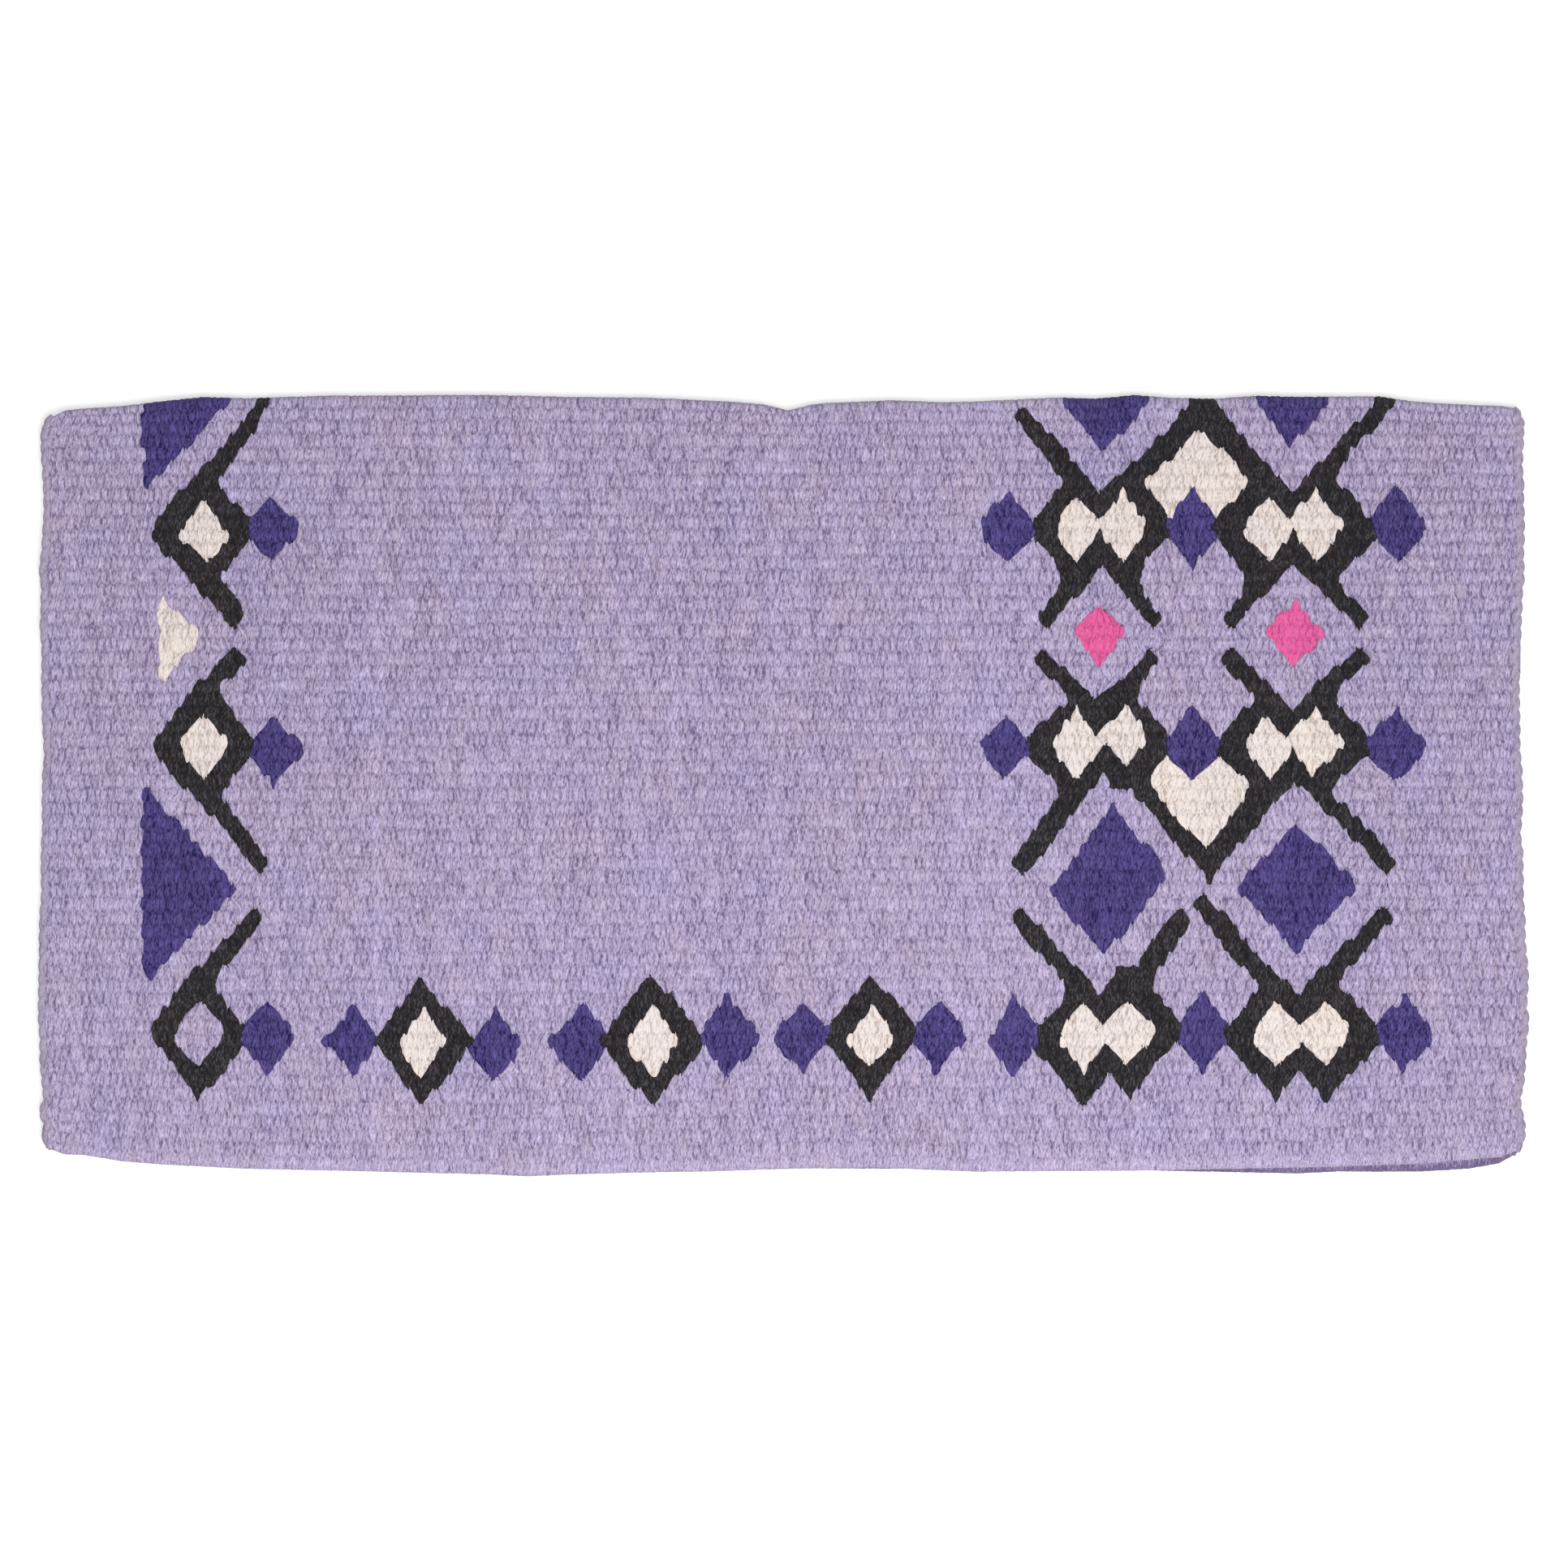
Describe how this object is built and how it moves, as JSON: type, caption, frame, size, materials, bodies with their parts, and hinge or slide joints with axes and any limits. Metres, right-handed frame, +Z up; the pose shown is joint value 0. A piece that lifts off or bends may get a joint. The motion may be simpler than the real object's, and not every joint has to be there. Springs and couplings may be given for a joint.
{
  "type": "saddle blanket",
  "caption": "Rectangular woven wool blanket with stepped diamonds and hooks, folded in half over its spine, worn on a horse's back under the saddle.",
  "frame": {"origin": "centre of the underside of the folded blanket, in the plane of the floor it lies on", "axes": "+X along the spine, towards the end with the large group of diamonds; +Y from the hem towards the fold; +Z up, out of the near side"},
  "size_m": [0.864, 0.4523, 0.0139],
  "materials": {
    "lavender_wool": "greyish lavender wool yarn, beaten tight into ribs",
    "violet_wool": "dark violet wool yarn, beaten tight into ribs",
    "black_wool": "black wool yarn, beaten tight into ribs",
    "ivory_wool": "ivory wool yarn, beaten tight into ribs",
    "pink_wool": "bright pink wool yarn, beaten tight into ribs"
  },
  "bodies": {
    "off_side": {"off_ground": "lavender_wool", "off_left_edge_cord": "lavender_wool", "off_right_edge_cord": "lavender_wool"},
    "near_side": {"near_ground": "lavender_wool", "near_left_edge_cord": "lavender_wool", "near_right_edge_cord": "lavender_wool", "left_fold_triangle": "violet_wool", "left_upper_hook": "black_wool", "left_upper_lozenge": "ivory_wool", "left_upper_diamond": "violet_wool", "left_ivory_triangle": "ivory_wool", "left_middle_hook": "black_wool", "left_middle_lozenge": "ivory_wool", "left_middle_diamond": "violet_wool", "left_large_triangle": "violet_wool", "left_lower_hook": "black_wool", "left_lower_lozenge": "lavender_wool", "left_lower_diamond": "violet_wool", "hem_diamond_1": "violet_wool", "hem_ring_1": "black_wool", "hem_lozenge_1": "ivory_wool", "hem_diamond_2": "violet_wool", "hem_diamond_3": "violet_wool", "hem_ring_2": "black_wool", "hem_lozenge_2": "ivory_wool", "hem_diamond_4": "violet_wool", "hem_diamond_5": "violet_wool", "hem_ring_3": "black_wool", "hem_lozenge_3": "ivory_wool", "hem_diamond_6": "violet_wool", "fold_diamond_1": "violet_wool", "fold_diamond_2": "violet_wool", "upper_lattice": "black_wool", "upper_chevron": "ivory_wool", "upper_pair_1": "ivory_wool", "upper_pair_2": "ivory_wool", "upper_diamond_1": "violet_wool", "upper_diamond_2": "violet_wool", "upper_diamond_3": "violet_wool", "pink_diamond_1": "pink_wool", "pink_diamond_2": "pink_wool", "middle_lattice": "black_wool", "middle_pair_1": "ivory_wool", "middle_pair_2": "ivory_wool", "middle_heart": "ivory_wool", "middle_diamond_1": "violet_wool", "middle_diamond_2": "violet_wool", "middle_diamond_3": "violet_wool", "large_diamond_1": "violet_wool", "large_diamond_2": "violet_wool", "lower_lattice_1": "black_wool", "lower_lattice_2": "black_wool", "lower_pair_1": "ivory_wool", "lower_pair_2": "ivory_wool", "lower_diamond_1": "violet_wool", "lower_diamond_2": "violet_wool", "lower_diamond_3": "violet_wool"}
  },
  "joints": [
    {"name": "spine_fold", "type": "hinge", "parent": "off_side", "child": "near_side", "pos_m": [0, 0.22637, 0.00695], "axis": [-1, 0, 0], "range_deg": [0, 180]}
  ]
}
